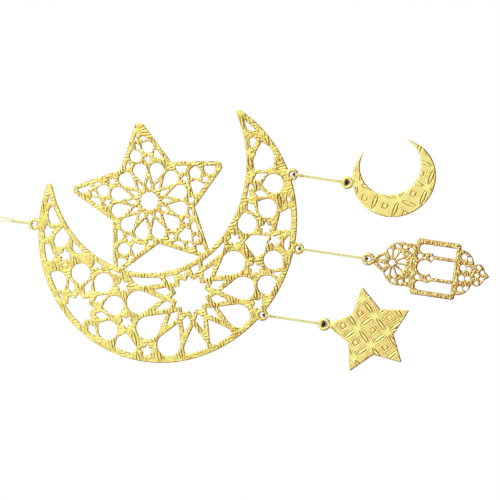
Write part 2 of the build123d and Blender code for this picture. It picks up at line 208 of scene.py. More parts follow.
def tube_along(line, side, radius):
    """Tube with closed ends: line + radius(s, a) * (cos a * across + sin a * up).

    Across is the fixed side direction made square to the line, and up is square to both.
    """
    along = np.gradient(line, axis=0)
    along /= np.linalg.norm(along, axis=1, keepdims=True)
    across = side - (along @ side)[:, None] * along
    across /= np.linalg.norm(across, axis=1, keepdims=True)
    up = np.cross(along, across)
    angle = np.linspace(0, 2 * pi, radius.shape[1], endpoint=False)[None, :, None]
    ring = np.cos(angle) * across[:, None] + np.sin(angle) * up[:, None]
    wall = (line[:, None] + radius[:, :, None] * ring).reshape(-1, 3)
    rows, columns = radius.shape
    first, last = rows * columns, rows * columns + 1
    rim = np.arange(columns)
    following = (rim + 1) % columns
    start_cap = np.column_stack([np.full(columns, first), following, rim])
    end = (rows - 1) * columns
    end_cap = np.column_stack([np.full(columns, last), end + rim, end + following])
    points = np.concatenate([wall, line[:1], line[-1:]])
    return points, np.concatenate([wrapped_grid(rows, columns), start_cap, end_cap])


def twisted_radius(line, columns=10):
    """Radius of two plies: diameter / 2 * (1 - lobe + lobe * cos(2 * (a - turn))), a turn a lay."""
    run = np.concatenate([[0], np.cumsum(np.linalg.norm(np.diff(line, axis=0), axis=1))])
    angle = np.linspace(0, 2 * pi, columns, endpoint=False)
    lobes = np.cos(2 * (angle[None] - 2 * pi * run[:, None] / ply_lay))
    return thread_diameter / 2 * (1 - lobe_share + lobe_share * lobes)


def thread_piece(name, line, side, gilding=0.0):
    """Twisted thread along a line, with painted shade in an eyelet and its gilding outside one."""
    points, triangles = tube_along(line, np.array(side, float), twisted_radius(line))
    away = eyelet_distance(points[:, 0], points[:, 2])
    shade = share_between(away, dark_from, dark_to)
    gilt = share_between(away, gilt_starts, gilt_full) * share_between(away, gilt_ends, gilt_wanes)
    return piece_from_arrays(name, points, triangles, shade=shade, gilt=gilding * gilt)


threads = []
print("one twist in", ply_lay, "mm")

# %% [markdown]
# ## The charms' threads
#
# A charm's thread leaves its knot at the crescent's eyelet and comes back to it, so both ends are
# tied off.
# The spline takes an odd number of steps, so that one of its points is the lowest of the thread.

# %% Hang the charms' threads
thread_steps = 45
loop_depth = 0.97
knot_drop, knot_height, throat_rise = 4.3, 0.85, 4.3
charm_gilding = 0.8

for charm, (x, upper, drop, length) in charm_threads.items():
    lower = upper - drop
    knot = upper - knot_drop
    middle = (knot - knot_height + lower + throat_rise) / 2
    route = there_and_back(x, [
        (x + 0.24, 0, knot - 0.43), (x + 0.26, 0, middle), (x + 0.25, 0, lower + 4.25),
        (x, loop_depth, lower + 2.72), (x, loop_depth, lower + 0.68),
    ])
    line = spline_through(route, thread_steps)
    thread = thread_piece(f"{charm}_thread", line, (1, 0, 0), charm_gilding)
    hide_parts(f"{charm}_strands", f"{charm}_lower_bight")
    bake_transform(thread)
    threads.append(thread)

# %% [markdown]
# ## Loops and extra turns in the eyelets
#
# A little loop goes through the crescent's eyelet and rides with the knot.
# Before it was tied, the thread went through the eyelets several times. Each extra turn passes
# through the hole, then over the rim on the knot's side and back. Turns nearly fill the eyelets of
# the small crescent and the small star, and the other eyelets hold a few. Inside a hole the turns
# are coloured near black as painted shade, so they fill the eyelet with dark.

# %% Thread the eyelets
short_steps = 20
turn_depth, turn_rim, turn_lean = 0.94, 3.05, 0.4
# For each turn: its place beside the eyelet's centre, and its place towards the knot.
many_turns = (
    (-0.62, 0.45), (-0.8, -0.1), (-0.55, -0.57), (-0.15, -0.2), (0.0, -0.8),
    (0.2, -0.3), (0.55, -0.57), (0.8, -0.1), (0.62, 0.45),
)
few_turns = ((-0.34, 0.3), (0.1, 0.1), (0.4, 0.4))


def turns_route(x, level, way, turns):
    """Route of the extra turns through an eyelet. Way is 1 if the knot lies above it, else -1."""
    rim = level + turn_rim * way
    route = [(x, turn_depth, rim)]
    for side, rise in turns:
        inner, outer, height = x + side, x + turn_lean * side, level + rise * way
        route += [
            (inner, turn_depth, height), (inner, -turn_depth, height),
            (outer, -turn_depth, rim), (outer, turn_depth, rim),
        ]
    return route[:-1]


for charm, (x, upper, drop, length) in charm_threads.items():
    route = there_and_back(x, [
        (x, 0.27, upper - 3.925), (x, loop_depth, upper - 2.52), (x, loop_depth, upper - 0.68),
    ])
    line = spline_through(route, short_steps)
    eyelet_thread = thread_piece(f"{charm}_eyelet_thread", line, (1, 0, 0))
    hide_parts(f"{charm}_upper_bight")
    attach(eyelet_thread, f"{charm}_bight")
    threads.append(eyelet_thread)

    lower_turns = few_turns if charm == "lantern" else many_turns
    for name, level, way, body, turns in (
        (f"{charm}_lower_hitch", upper - drop, 1, f"{charm}_pendant", lower_turns),
        (f"{charm}_upper_hitch", upper, -1, f"{charm}_bight", few_turns),
    ):
        line = spline_through(turns_route(x, level, way, turns), short_steps)
        hitch = thread_piece(name, line, (1, 0, 0))
        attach(hitch, body)
        threads.append(hitch)

# %% [markdown]
# ## Knots
#
# The knot is a trefoil, the simplest knot there is, drawn by its own formula and carried as a tube.
# On a thin thread it is pulled long and narrow, so every knot has its own half width and height.

# %% Tie the knots
# For each charm: half width, half height, distance below the upper eyelet, share of deeper gold.
knots = {
    "crescent": (0.42, 0.75, 3.85, 0.8),
    "lantern": (0.1, 0.75, 3.95, 0.2),
    "star": (0.26, 1.15, 4.1, 0.8),
}
knot_half_depth, knot_thread_radius = 0.3, 0.28
knot_side = np.array((0.3, 1.0, 0.2))
trefoil_reach, trefoil_shift, trefoil_rise = 2.73, 0.47, 2.53
trefoil_rows, plain_columns = 120, 8


def trefoil(centre, across, along):
    """Closed line x = sin t + 2 sin 2t, y = sin 3t, z = cos t - 2 cos 2t, fitted to half sizes."""
    t = np.linspace(0, 2 * pi, trefoil_rows)
    line = np.column_stack([
        (np.sin(t) + 2 * np.sin(2 * t)) / trefoil_reach * across,
        np.sin(3 * t) * knot_half_depth,
        (np.cos(t) - 2 * np.cos(2 * t) + trefoil_shift) / trefoil_rise * along,
    ])
    return np.array(centre) + line


knot_radius = np.full((trefoil_rows, plain_columns), knot_thread_radius)
for charm, (across, along, below, gilding) in knots.items():
    x, upper, drop, length = charm_threads[charm]
    line = trefoil((x, 0, upper - below), across, along)
    points, triangles = tube_along(line, knot_side, knot_radius)
    gilt = np.full(len(points), gilding)
    knot_piece = piece_from_arrays(f"{charm}_tied_knot", points, triangles, gilt=gilt)
    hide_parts(f"{charm}_knot")
    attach(knot_piece, f"{charm}_bight")
    threads.append(knot_piece)

# %% [markdown]
# ## The hanging thread
#
# At the top eyelet the thread is doubled, bound round its neck with close turns, and opens into the
# loop for a hook. The picture ends just past the neck, so the loop closes at a usual length outside
# the view. The binding is a helix: reach times cosine and sine of the turn, rising by less than one
# thickness a turn, so that the turns touch. Its reach grows upwards, where the strands part.

# %% Hang the loop, its neck and its eyelet thread
loop_steps, loop_length = 60, 0.0768
loop_route = there_and_back(0, [(0.27, 0, -36.5), (3.3, 0, -3.35), (1.4, 0, 0.25)])
line = spline_through(loop_route, loop_steps)
hook_thread = thread_piece("hook_loop_thread", line, (0, 1, 0))
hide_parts("hanging_loop")
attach(hook_thread, "hook_loop")

top_route = there_and_back(0, [
    (0, 0.27, -40.65), (0, loop_depth, -42.48), (0, loop_depth, -44.32),
])
top_thread = thread_piece("top_eyelet_thread", spline_through(top_route, short_steps), (1, 0, 0))
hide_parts("hanging_bight")
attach(top_thread, "neck")

neck_turns, neck_foot, neck_height = 24.5, -42.2, 5.6
neck_reach, neck_spread, neck_thread_radius, neck_rows = 0.3, 0.1, 0.2, 800
neck_radius = np.full((neck_rows, plain_columns), neck_thread_radius)
t = np.linspace(0, 1, neck_rows)
reach = neck_reach + neck_spread * t
turned = 2 * pi * neck_turns * t
helix = np.column_stack([
    reach * np.cos(turned), reach * np.sin(turned), neck_foot + neck_height * t,
])
points, triangles = tube_along(helix, np.array((0, 0, 1.0)), neck_radius)
binding = piece_from_arrays("neck_binding", points, triangles)
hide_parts("hanging_wrap")
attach(binding, "neck")
threads += [hook_thread, top_thread, binding]

# %% [markdown]
# ## The cut edge of a sheet
#
# The sheet pieces are flat, so their outline says it all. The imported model's front face is a web of
# triangles. An edge that only one of them has lies on the outline, and its direction keeps the
# metal on its left. The outline is then divided into short, even steps, which the relief needs.

# %% Helpers that read the outline
half_thickness = 0.6
plane_margin = 0.01
least_sum = 0.4


def outline_of(node, step):
    """Points (x, z) in millimetres round the node's front face, and each one's follower."""
    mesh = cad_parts[node].data
    mesh.calc_loop_triangles()
    corners = np.empty(len(mesh.loop_triangles) * 3, np.int32)
    mesh.loop_triangles.foreach_get("vertices", corners)
    places = np.empty(len(mesh.vertices) * 3, np.float32)
    mesh.vertices.foreach_get("co", places)
    places = np.round(places.reshape(-1, 3) / MM, 3)
    places, same = np.unique(places, axis=0, return_inverse=True)
    corners = same.ravel()[corners].reshape(-1, 3)
    in_front = places[corners][:, :, 1] < plane_margin - half_thickness
    front = corners[in_front.all(axis=1)]
    sides = front[:, [[0, 1], [1, 2], [2, 0]]].reshape(-1, 2)
    code = sides.min(axis=1) * len(places) + sides.max(axis=1)
    _, where, count = np.unique(code, return_index=True, return_counts=True)
    start, end = sides[where[count == 1]].T
    flat = places[:, [0, 2]].astype(float)
    lengths = np.linalg.norm(flat[end] - flat[start], axis=1)
    parts = np.maximum(1, np.round(lengths / step).astype(int))
    first = np.cumsum(parts) - parts
    owner = np.repeat(np.arange(len(parts)), parts)
    share = (np.arange(len(owner)) - first[owner]) / parts[owner]
    ring = flat[start[owner]] + share[:, None] * (flat[end[owner]] - flat[start[owner]])
    first_at = np.zeros(len(flat), int)
    first_at[start] = first
    follower = np.arange(1, len(ring) + 1)
    follower[first + parts - 1] = first_at[end]
    return ring, follower


def inward_of(ring, follower):
    """Directions into the metal: the left-hand normals of a point's two steps, added and scaled.

    Their sum is divided by its length, or by a least length where the outline doubles back.
    """
    step = ring[follower] - ring
    left = np.column_stack([-step[:, 1], step[:, 0]])
    left /= np.linalg.norm(step, axis=1, keepdims=True)
    inward = left.copy()
    inward[follower] += left
    return inward / np.maximum(np.linalg.norm(inward, axis=1, keepdims=True), least_sum)


print("sheet", 2 * half_thickness, "mm thick")

# %% [markdown]
# ## A map of metal and holes
#
# Points for the relief may only lie in the metal, and the rounded edge needs the distance to the
# outline. Testing every point against every edge would be slow. Instead a fine grid is laid over
# the sheet. A cell is metal if a line to it from the left crosses the outline an odd number of
# times, and each outline point writes its distance into the cells round it, where the least stays.
# Further in, all cells hold the distance that the map reaches.

# %% Helper that maps a sheet
cell = 0.1
map_reach = 8
map_margin = 1
parts_of_step = 6


def crossings_before(here, there, rows, columns):
    """How often a line from the left crosses the outline before the middle of each cell."""
    row_here = np.floor(here[:, 1] - 0.5).astype(int)
    row_there = np.floor(there[:, 1] - 0.5).astype(int)
    crossing = row_here != row_there
    here, there = here[crossing], there[crossing]
    row = np.maximum(row_here, row_there)[crossing]
    part = (row + 0.5 - here[:, 1]) / (there[:, 1] - here[:, 1])
    across = here[:, 0] + part * (there[:, 0] - here[:, 0])
    counted = np.zeros((rows, columns), int)
    np.add.at(counted, (row, np.floor(across - 0.5).astype(int) + 1), 1)
    return np.cumsum(counted, axis=1)


class SheetMap:
    """Grid over a sheet: for any points, whether they lie in metal and how far the outline is."""

    def __init__(self, ring, follower):
        share = np.linspace(0, 1, parts_of_step + 1)[:, None, None]
        fine = ring + share * (ring[follower] - ring)
        self.low = ring.min(axis=0) - map_margin
        columns, rows = np.ceil((ring.max(axis=0) + map_margin - self.low) / cell).astype(int)
        here = (fine[:-1].reshape(-1, 2) - self.low) / cell
        there = (fine[1:].reshape(-1, 2) - self.low) / cell
        self.metal = crossings_before(here, there, rows, columns) % 2 == 1
        self.distance = np.full((rows, columns), cell * map_reach)
        base = np.floor(here).astype(int)
        for right in range(-map_reach, map_reach + 1):
            for up in range(-map_reach, map_reach + 1):
                spot = base + (right, up)
                away = np.linalg.norm(spot + 0.5 - here, axis=1) * cell
                np.minimum.at(self.distance, (spot[:, 1], spot[:, 0]), away)

    def at(self, points):
        """Whether each point lies in metal, and its distance to the outline."""
        spot = np.floor((points - self.low) / cell).astype(int)
        spot = np.clip(spot, 0, np.array(self.metal.shape[::-1]) - 1)
        return self.metal[spot[:, 1], spot[:, 0]], self.distance[spot[:, 1], spot[:, 0]]


print("map of", cell, "mm cells")

# %% [markdown]
# ## The stamped pattern
#
# The sheet is stamped with the old pattern of overlapping circles: leaves that meet in fours, with
# echo lines between them and a small square in the middle. All its curves come from one distance.
# Each point lies in a square of a net. Straight out from the square's middle, one pitch beyond its
# nearest side, lies the centre of a circle. Let g be the distance to that centre, in pitches.
# It is about 1 along the net's sides, where its lines bend into narrow leaves, and 1.5 in the
# middle of the square. Each stamped line is a groove along one value of g.
# The leaves also swell a little, the lines come and go, and the whole sheet is gently uneven, as
# hand-finished metal is. Round an eyelet the face is bowed like a rim instead.

# %% Helper that works out the relief
groove_half_width = 0.24
leaf_line, leaf_depth, leaf_swell = 1.078, 0.18, 0.05
echo_lines, echo_depth = (1.18, 1.28), 0.15
square_half_width, square_depth = 0.115, 0.18
dash_ends, dash_full = 0.135, 0.105
face_depth, unevenness = 0.12, 0.02
corner_bare, corner_full = 0.9, 2.0
eyelet_ends, eyelet_full = 2.7, 2.3
bow_depth, bow_rise, bow_most = 0.06, 0.1, 0.15
bow_middle, bow_half_width = 1.8, 0.75
hole_line, hole_line_width = 1.05, 0.35
inside_g, inside_corner, eyelet_warmth = (1.1, 1.22), (1.2, 2.2), 0.6


def groove_at(distance):
    """Share of a groove's depth at a distance from its middle: exp(-(distance / half width)^2)."""
    return np.exp(-((distance / groove_half_width) ** 2))


def stamped_depth(flat, net_centre, net_turn, net_pitch, echo_share):
    """Depth below the sheet's face in millimetres, share of painted shade in the grooves and round
    the eyelets' holes, and share of a square's inside.

    g = hypot(1.5 - a, b), with a and b the larger and smaller distance to the own square's middle
    lines in pitches. A groove lies along each line's g, and fades round the net's corners.
    Round an eyelet the depth is 0.06 + 0.1 * ((r - 1.8) / 0.75)^2 at the distance r.
    """
    x, z = flat.T
    right, up = (flat - net_centre).T
    c, s = cos(radians(net_turn)), sin(radians(net_turn))
    p, q = (right * c + up * s) / net_pitch, (up * c - right * s) / net_pitch
    u, v = np.abs(p - np.floor(p) - 0.5), np.abs(q - np.floor(q) - 0.5)
    a, b = np.maximum(u, v), np.minimum(u, v)
    g = np.hypot(1.5 - a, b)
    corner = np.hypot(0.5 - a, 0.5 - b) * net_pitch
    fade = share_between(corner, corner_bare, corner_full)

    # Products of waves with unrelated lengths, so that no two places are alike.
    wave = np.sin(2.1 * x + 1.3 * np.floor(p)) * np.sin(1.7 * z + 2.1 * np.floor(q))
    wobble = 0.8 + 0.2 * wave
    worn = 0.9 + 0.6 * np.sin(1.1 * x + 0.7 * p) * np.sin(0.9 * z - 0.8 * q)
    worn = np.clip(worn, 0, 1)
    uneven = unevenness * np.sin(0.9 * x + 0.5 * z) * np.sin(0.7 * z - 0.4 * x)

    leaf = leaf_depth * groove_at((g - leaf_line) * net_pitch)
    echo = echo_depth * sum(groove_at((g - line) * net_pitch) for line in echo_lines)
    dash = share_between(b, dash_ends, dash_full)
    square = square_depth * dash * groove_at((a - square_half_width) * net_pitch)
    cut = ((leaf + echo_share * echo * worn) * fade + square * worn) * wobble
    swell = leaf_swell * np.clip(1 - ((g - 1) / (leaf_line - 1)) ** 2, 0, 1) * fade

    away = eyelet_distance(x, z)
    ring = share_between(away, eyelet_ends, eyelet_full)
    bow = bow_rise * ((away - bow_middle) / bow_half_width) ** 2
    bowed = bow_depth + np.minimum(bow, bow_most)
    # Painted shade: a brown line round each eyelet's hole, laid into the grooves' share.
    hole = np.exp(-(((away - hole_line) / hole_line_width) ** 2))

    depth = (face_depth + cut - swell + uneven) * (1 - ring) + bowed * ring
    groove = np.clip(cut / leaf_depth, 0, 1) * (1 - ring) + hole
    inside = share_between(g, *inside_g) * share_between(corner, *inside_corner)
    return depth, groove, inside * (1 - ring) + eyelet_warmth * ring


print("leaves", leaf_depth, "mm deep")

# %% [markdown]
# ## Grains
#
# On the large crescent and the lantern the metal between the lines is grained. Each small square
# of a second net holds one grain at a place that looks random. A groove runs wherever two grains
# are equally near, which draws the borders between them.

# %% Helpers for grains
grain_groove = 0.27


def grain_gap(flat, size):
    """Distance to the second nearest grain less the distance to the nearest, at each point.

    One grain lies in each square of a net, at a place that the fraction of a large sine gives.
    """
    square = np.floor(flat / size)
    distances = []
    for right in (-1, 0, 1):
        for up in (-1, 0, 1):
            corner = square + (right, up)
            jitter = np.sin(corner @ np.array([[12.99, 39.35], [78.23, 11.14]])) * 43758.5 % 1
            distances.append(np.linalg.norm(corner + jitter - flat / size, axis=1) * size)
    nearest = np.sort(distances, axis=0)
    return nearest[1] - nearest[0]


def grained_depth(flat, size, most, cover):
    """Depth between grains: most * exp(-(gap / (0.27 * size))^2), in patches by a cover share."""
    x, z = flat.T
    rising = np.sin(2.6 * x + 1.1 * z + np.sin(1.7 * z))
    falling = np.sin(2.1 * z - 0.9 * x + np.sin(1.3 * x))
    strength = np.clip(2 * cover - 0.5 + 1.2 * rising * falling, 0, 1)
    return most * strength * np.exp(-((grain_gap(flat, size) / (grain_groove * size)) ** 2))


print("grains have grooves", grain_groove, "of their size wide")

# %% [markdown]
# ## From outline to embossed sheet
#
# The face is a height over the plane: depth as a function of x and z. It needs points where the
# relief is, and rows of points along the cut edge, so that the edge can be rounded like a quarter
# circle. Blender's Delaunay triangulation joins them and keeps the outline's steps as sides.
# Triangles in holes are dropped. Front and back share the outline, and a wall of two triangles a
# step closes the piece. The back has the same relief at half its depth.

# %% Helpers for a sheet's face
edge_round = 0.5
front_rows = (0.15 * edge_round, 0.5 * edge_round, edge_round)
back_rows = (0.2,)
back_coarseness = 2.5
row_gap, row_safety = 0.12, 0.8
field_margin, triangle_height = 0.45, 0.866


def face_points(ring, follower, sheet, rows, spacing):
    """Outline points, rows of points inside it and a triangular field, with their distances."""
    inward = inward_of(ring, follower)
    points, distances = [ring], [np.zeros(len(ring))]
    for row in rows:
        moved = ring + inward * row
        metal, away = sheet.at(moved)
        moved = moved[metal & (away > row_safety * row)]
        _, kept = np.unique(np.round(moved / row_gap), axis=0, return_index=True)
        points.append(moved[kept])
        distances.append(np.full(len(kept), row))
    low, high = ring.min(axis=0), ring.max(axis=0)
    columns = np.arange(low[0], high[0], spacing)
    levels = np.arange(low[1], high[1], spacing * triangle_height)
    field = np.stack(np.meshgrid(columns, levels), axis=-1)
    field[1::2, :, 0] += spacing / 2
    field = field.reshape(-1, 2)
    metal, away = sheet.at(field)
    inside = metal & (away > rows[-1] + field_margin * spacing)
    points.append(field[inside])
    distances.append(away[inside])
    return np.concatenate(points), np.concatenate(distances)


def face_triangles(points, ring, follower, sheet):
    """Delaunay triangles between the points, without those that lie in holes or outside."""
    steps = np.column_stack([np.arange(len(ring)), follower])
    spots = [Vector(spot) for spot in points.tolist()]
    made = delaunay_2d_cdt(spots, steps.tolist(), [], 0, 1e-6)
    source = np.array([origin[0] for origin in made[3]])
    triangles = source[np.array(made[2])]
    sides = triangles[:, [[0, 1], [1, 2], [2, 0]]]
    code = sides[:, :, 0] * len(points) + sides[:, :, 1]
    metal_side = np.isin(code, steps[:, 0] * len(points) + steps[:, 1]).any(axis=1)
    hole_side = np.isin(code, steps[:, 1] * len(points) + steps[:, 0]).any(axis=1)
    middle_metal, _ = sheet.at(points[triangles].mean(axis=1))
    return triangles[metal_side | (middle_metal & ~hole_side)]


print("edges rounded by", edge_round, "mm")

# %% [markdown]
# ## What the sheet tells its material
#
# The material needs to know more than the shape. Six values go with each point: the painted shade
# in the grooves, the warmth inside the squares, the painted shade along the cut edge, tarnish, fine
# lines and pale plating.
# Wear is uneven over the ornament, and its lower right has most. So the warmth, the tarnish and
# the fine lines grow that way.

# %% Helper that makes an embossed sheet
least_wear, wear_distance = 0.35, 140
wear_left, wear_low = -45, -65
grain_shade_depth = 0.12
back_relief = 0.5


def patina(flat):
    """Share of wear: it grows from 0.35 at the ornament's upper left to 1 at its lower right."""
    x, z = flat.T
    grown = ((x - wear_left) - (z - wear_low)) / wear_distance
    return np.clip(least_wear + grown, least_wear, 1)


def embossed_sheet(name, node, net, grains, step, spacing, looks):
    """Embossed piece for a flat node: y = -(half - depth) in front, y = half - depth behind."""
    ring, follower = outline_of(node, step)
    sheet = SheetMap(ring, follower)
    front, front_away = face_points(ring, follower, sheet, front_rows, spacing)
    back, back_away = face_points(ring, follower, sheet, back_rows, back_coarseness * spacing)
    front_faces = face_triangles(front, ring, follower, sheet)
    back_faces = face_triangles(back, ring, follower, sheet)
    here, there = np.arange(len(ring)), follower
    behind = len(front)
    wall = np.concatenate([
        np.column_stack([here, behind + here, behind + there]),
        np.column_stack([here, behind + there, there]),
    ])
    triangles = np.concatenate([front_faces, back_faces[:, ::-1] + behind, wall])

    flat = np.concatenate([front, back])
    away = np.concatenate([front_away, back_away])
    side = np.repeat((-1, 1), (len(front), len(back)))
    depth, groove, inside = stamped_depth(flat, *net)
    between = grained_depth(flat, *grains)
    near = share_between(away, edge_round, 0)
    rounded = edge_round * (1 - np.sqrt(np.maximum(1 - near**2, 0)))
    relief = (depth + between) * (1 - near**3) * np.where(side < 0, 1, back_relief)
    places = np.column_stack([flat[:, 0], side * (half_thickness - rounded - relief), flat[:, 1]])

    wear = patina(flat)
    piece = piece_from_arrays(
        name, places, triangles,
        # Painted shade: brown in the grooves, between the grains and round the eyelets' holes.
        groove=looks["groove_shade"] * np.clip(groove + between / grain_shade_depth, 0, 1),
        inside=looks["warmth"] * inside * wear,
        # Painted shade: the colour darkens towards the cut edge, on both faces.
        cut_edge=looks["outline"] * near,
        tarnish=looks["tarnish"] * wear,
        hatch=looks["hatch"] * wear,
        pale=np.full(len(places), looks["pale"]),
    )
    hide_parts(node)
    return piece


print("wear from", least_wear, "to 1")

# %% [markdown]
# ## The four sheet pieces
#
# The pattern lies at another angle on every piece, because the pieces were cut from one stamped
# sheet however they fitted. The angles and corner points below were measured on each piece.

# %% Emboss the sheets
# A net has a corner point, an angle, a pitch and a share of echo lines.
# Grains have a size, a depth and a cover. A grain depth of 0 leaves the metal smooth.
sheets = {
    "crescent_plate": dict(
        body="plate", net=(np.array((-18.9, -111.0)), 20.0, 8.5, 0.8), grains=(1.3, 0.1, 0.35),
        step=0.32, spacing=0.22,
        looks=dict(groove_shade=0.5, hatch=0.75, tarnish=0.55, warmth=0.4, pale=0.0, outline=0.3),
    ),
    "crescent_charm": dict(
        body="crescent_pendant", net=(np.array((31.2, -187.9)), -13.0, 8.7, 0.3),
        grains=(1.5, 0.0, 0.0), step=0.24, spacing=0.11,
        looks=dict(groove_shade=0.85, hatch=0.0, tarnish=0.15, warmth=0.7, pale=0.1, outline=0.1),
    ),
    "lantern_charm": dict(
        body="lantern_pendant", net=(np.array((5.9, -188.6)), 12.0, 4.3, 0.5),
        grains=(1.2, 0.14, 0.5), step=0.24, spacing=0.15,
        looks=dict(groove_shade=0.85, hatch=0.0, tarnish=0.35, warmth=0.2, pale=0.5, outline=0.5),
    ),
    "star_charm": dict(
        body="star_pendant", net=(np.array((-28.0, -185.2)), 45.0, 8.4, 0.55),
        grains=(1.5, 0.0, 0.0), step=0.24, spacing=0.12,
        looks=dict(groove_shade=0.75, hatch=0.0, tarnish=0.2, warmth=1.0, pale=0.1, outline=0.1),
    ),
}
embossed = []
for node, settings in sheets.items():
    body = settings.pop("body")
    piece = embossed_sheet(f"embossed_{node}", node, **settings)
    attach(piece, body)
    embossed.append(piece)

# %% [markdown]
# ## Helpers for materials
#
# A material is a small network: sources such as a noise or one of the piece's own values, and steps
# that turn them into a colour. Each helper adds one kind of step and gives back its output.

# %% Helpers for materials
def new_material(name):
    """Material with its node tree and main shader."""
    material = bpy.data.materials.new(name)
    material.use_nodes = True
    return material, material.node_tree, material.node_tree.nodes["Principled BSDF"]


def add_node(tree, kind, **settings):
    """New node with the given settings and input values."""
    node = tree.nodes.new(kind)
    for label, value in settings.items():
        if label in node.inputs:
            node.inputs[label].default_value = value
        else:
            setattr(node, label, value)
    return node


def own_value(tree, name):
    """A value that the piece carries at each point."""
    return add_node(tree, "ShaderNodeAttribute", attribute_name=name).outputs["Fac"]


def noise(tree, coordinates, scale, detail):
    """Noise from 0 to 1, with about so many spots a metre."""
    node = add_node(tree, "ShaderNodeTexNoise", Scale=scale, Detail=detail)
    tree.links.new(coordinates, node.inputs["Vector"])
    return node.outputs["Fac"]


def ramp(tree, source, low, low_colour, high, high_colour):
    """Colour that goes from one to another while the source goes from low to high."""
    node = tree.nodes.new("ShaderNodeValToRGB")
    stops = ((low, low_colour), (high, high_colour))
    for element, (position, colour) in zip(node.color_ramp.elements, stops):
        element.position = position
        element.color = (*colour, 1)
    tree.links.new(source, node.inputs["Fac"])
    return node.outputs["Color"]


def mask(tree, source, low, high, least=0.0):
    """Share that goes from the least to 1 while the source goes from low to high."""
    return ramp(tree, source, low, (least,) * 3, high, (1, 1, 1))


def mixed(tree, share, first, second):
    """Colour between first and second by a share from 0 to 1."""
    mix = tree.nodes.new("ShaderNodeMix")
    mix.data_type = "RGBA"
    tree.links.new(share, mix.inputs["Factor"])
    for label, value in (("A", first), ("B", second)):
        socket = [s for s in mix.inputs if s.name == label and s.type == "RGBA"][0]
        if isinstance(value, tuple):
            socket.default_value = (*value, 1)
        else:
            tree.links.new(value, socket)
    return [s for s in mix.outputs if s.type == "RGBA"][0]


def calculated(tree, operation, *values):
    """Result of a maths node. Each value is a number or another node's output."""
    node = add_node(tree, "ShaderNodeMath", operation=operation)
    for socket, value in zip(node.inputs, values):
        if isinstance(value, (int, float)):
            socket.default_value = value
        else:
            tree.links.new(value, socket)
    return node.outputs[0]


print("material helpers ready")

# %% [markdown]
# ## Lines finer than the mesh
#
# The large crescent's stamped lines lie so close that its mesh only just holds them. So the
# material works out the relief's distance g once more, and draws a thin line at even steps of it.
# The steps start at the leaf's own line, and every line follows the grooves in the mesh. In the gold
# they are brown, as painted shade in these fine grooves.

# %% Helper for fine lines
line_gap = 0.14
line_starts, line_full = 0.55, 0.97


def net_lines(tree, coordinates, net_centre, net_turn, net_pitch):
    """Share of a line: cos(2 pi (g - leaf line) / gap), where g is the relief's distance."""
    x, z = net_centre * MM
    net = add_node(
        tree, "ShaderNodeMapping", vector_type="TEXTURE", Location=(x, 0, z),
        Rotation=(0, -radians(net_turn), 0), Scale=(net_pitch * MM,) * 3,
    )
    tree.links.new(coordinates, net.inputs["Vector"])
    place = add_node(tree, "ShaderNodeSeparateXYZ")
    tree.links.new(net.outputs[0], place.inputs[0])
    in_square = [calculated(tree, "FRACT", place.outputs[way]) for way in "XZ"]
    centred = [calculated(tree, "SUBTRACT", share, 0.5) for share in in_square]
    u, v = (calculated(tree, "ABSOLUTE", share) for share in centred)
    beyond = calculated(tree, "SUBTRACT", 1.5, calculated(tree, "MAXIMUM", u, v))
    aside = calculated(tree, "MINIMUM", u, v)
    aside_squared = calculated(tree, "MULTIPLY", aside, aside)
    g = calculated(tree, "SQRT", calculated(tree, "MULTIPLY_ADD", beyond, beyond, aside_squared))
    turn = 2 * pi / line_gap
    wave = calculated(tree, "COSINE", calculated(tree, "MULTIPLY_ADD", g, turn, -turn * leaf_line))
    return mask(tree, wave, line_starts, line_full)


print("a line in each", line_gap, "of the pitch")

# %% [markdown]
# ## Gold
#
# The sheet is bright, pale gold. Metal has no colour of its own besides what it reflects, so the
# base colour tints the reflection. The colour grows in layers, each laid over the last by a share.
# Lemon gold comes first, with a warmer gold inside the squares, and a paler plating over both.
# Brown fills the grooves as painted shade. Where the plating has tarnished, noises spread orange
# patches, brown spots and rust. The fine lines, brown with painted shade, and the painted shade along
# the cut edge come last.

# %% Gold: layers of colour
lemon_deep, lemon_bright = (0.97, 0.92, 0.29), (1.0, 1.0, 0.35)
warm_deep, warm_bright = (0.98, 0.78, 0.25), (1.0, 0.87, 0.31)
pale_plating = (1.0, 0.92, 0.52)
# Painted shade: the browns of the grooves, the cut edge and the fine lines.
groove_shade_brown, edge_shade_brown, line_shade_brown = (0.5, 0.26, 0.05), (0.42, 0.22, 0.04), (0.42, 0.18, 0.03)
patch_orange, spot_brown, rust = (0.9, 0.6, 0.11), (0.45, 0.17, 0.02), (0.72, 0.36, 0.05)

gold, tree, shader = new_material("gold_sheet")
coordinates = add_node(tree, "ShaderNodeTexCoord").outputs["Object"]
broad = noise(tree, coordinates, scale=220.0, detail=3.0)
fine = noise(tree, coordinates, scale=950.0, detail=2.0)
lemon = ramp(tree, broad, 0.35, lemon_deep, 0.6, lemon_bright)
warm = ramp(tree, broad, 0.35, warm_deep, 0.65, warm_bright)
colour = mixed(tree, own_value(tree, "inside"), lemon, warm)
colour = mixed(tree, own_value(tree, "pale"), colour, pale_plating)
# Painted shade: brown where the sheet is grooved.
colour = mixed(tree, own_value(tree, "groove"), colour, groove_shade_brown)

tarnish = own_value(tree, "tarnish")
patches = mask(tree, noise(tree, coordinates, scale=1300.0, detail=1.0), 0.46, 0.74)
spots = mask(tree, fine, 0.57, 0.68)
blotches = mask(tree, noise(tree, coordinates, scale=190.0, detail=4.0), 0.6, 0.7)
for marks, tone in ((patches, patch_orange), (spots, spot_brown), (blotches, rust)):
    colour = mixed(tree, calculated(tree, "MULTIPLY", marks, tarnish), colour, tone)

worn = calculated(tree, "MULTIPLY", mask(tree, broad, 0.44, 0.56, 0.1), own_value(tree, "hatch"))
drawn = net_lines(tree, coordinates, *sheets["crescent_plate"]["net"][:3])
lines = calculated(tree, "MULTIPLY", drawn, worn)
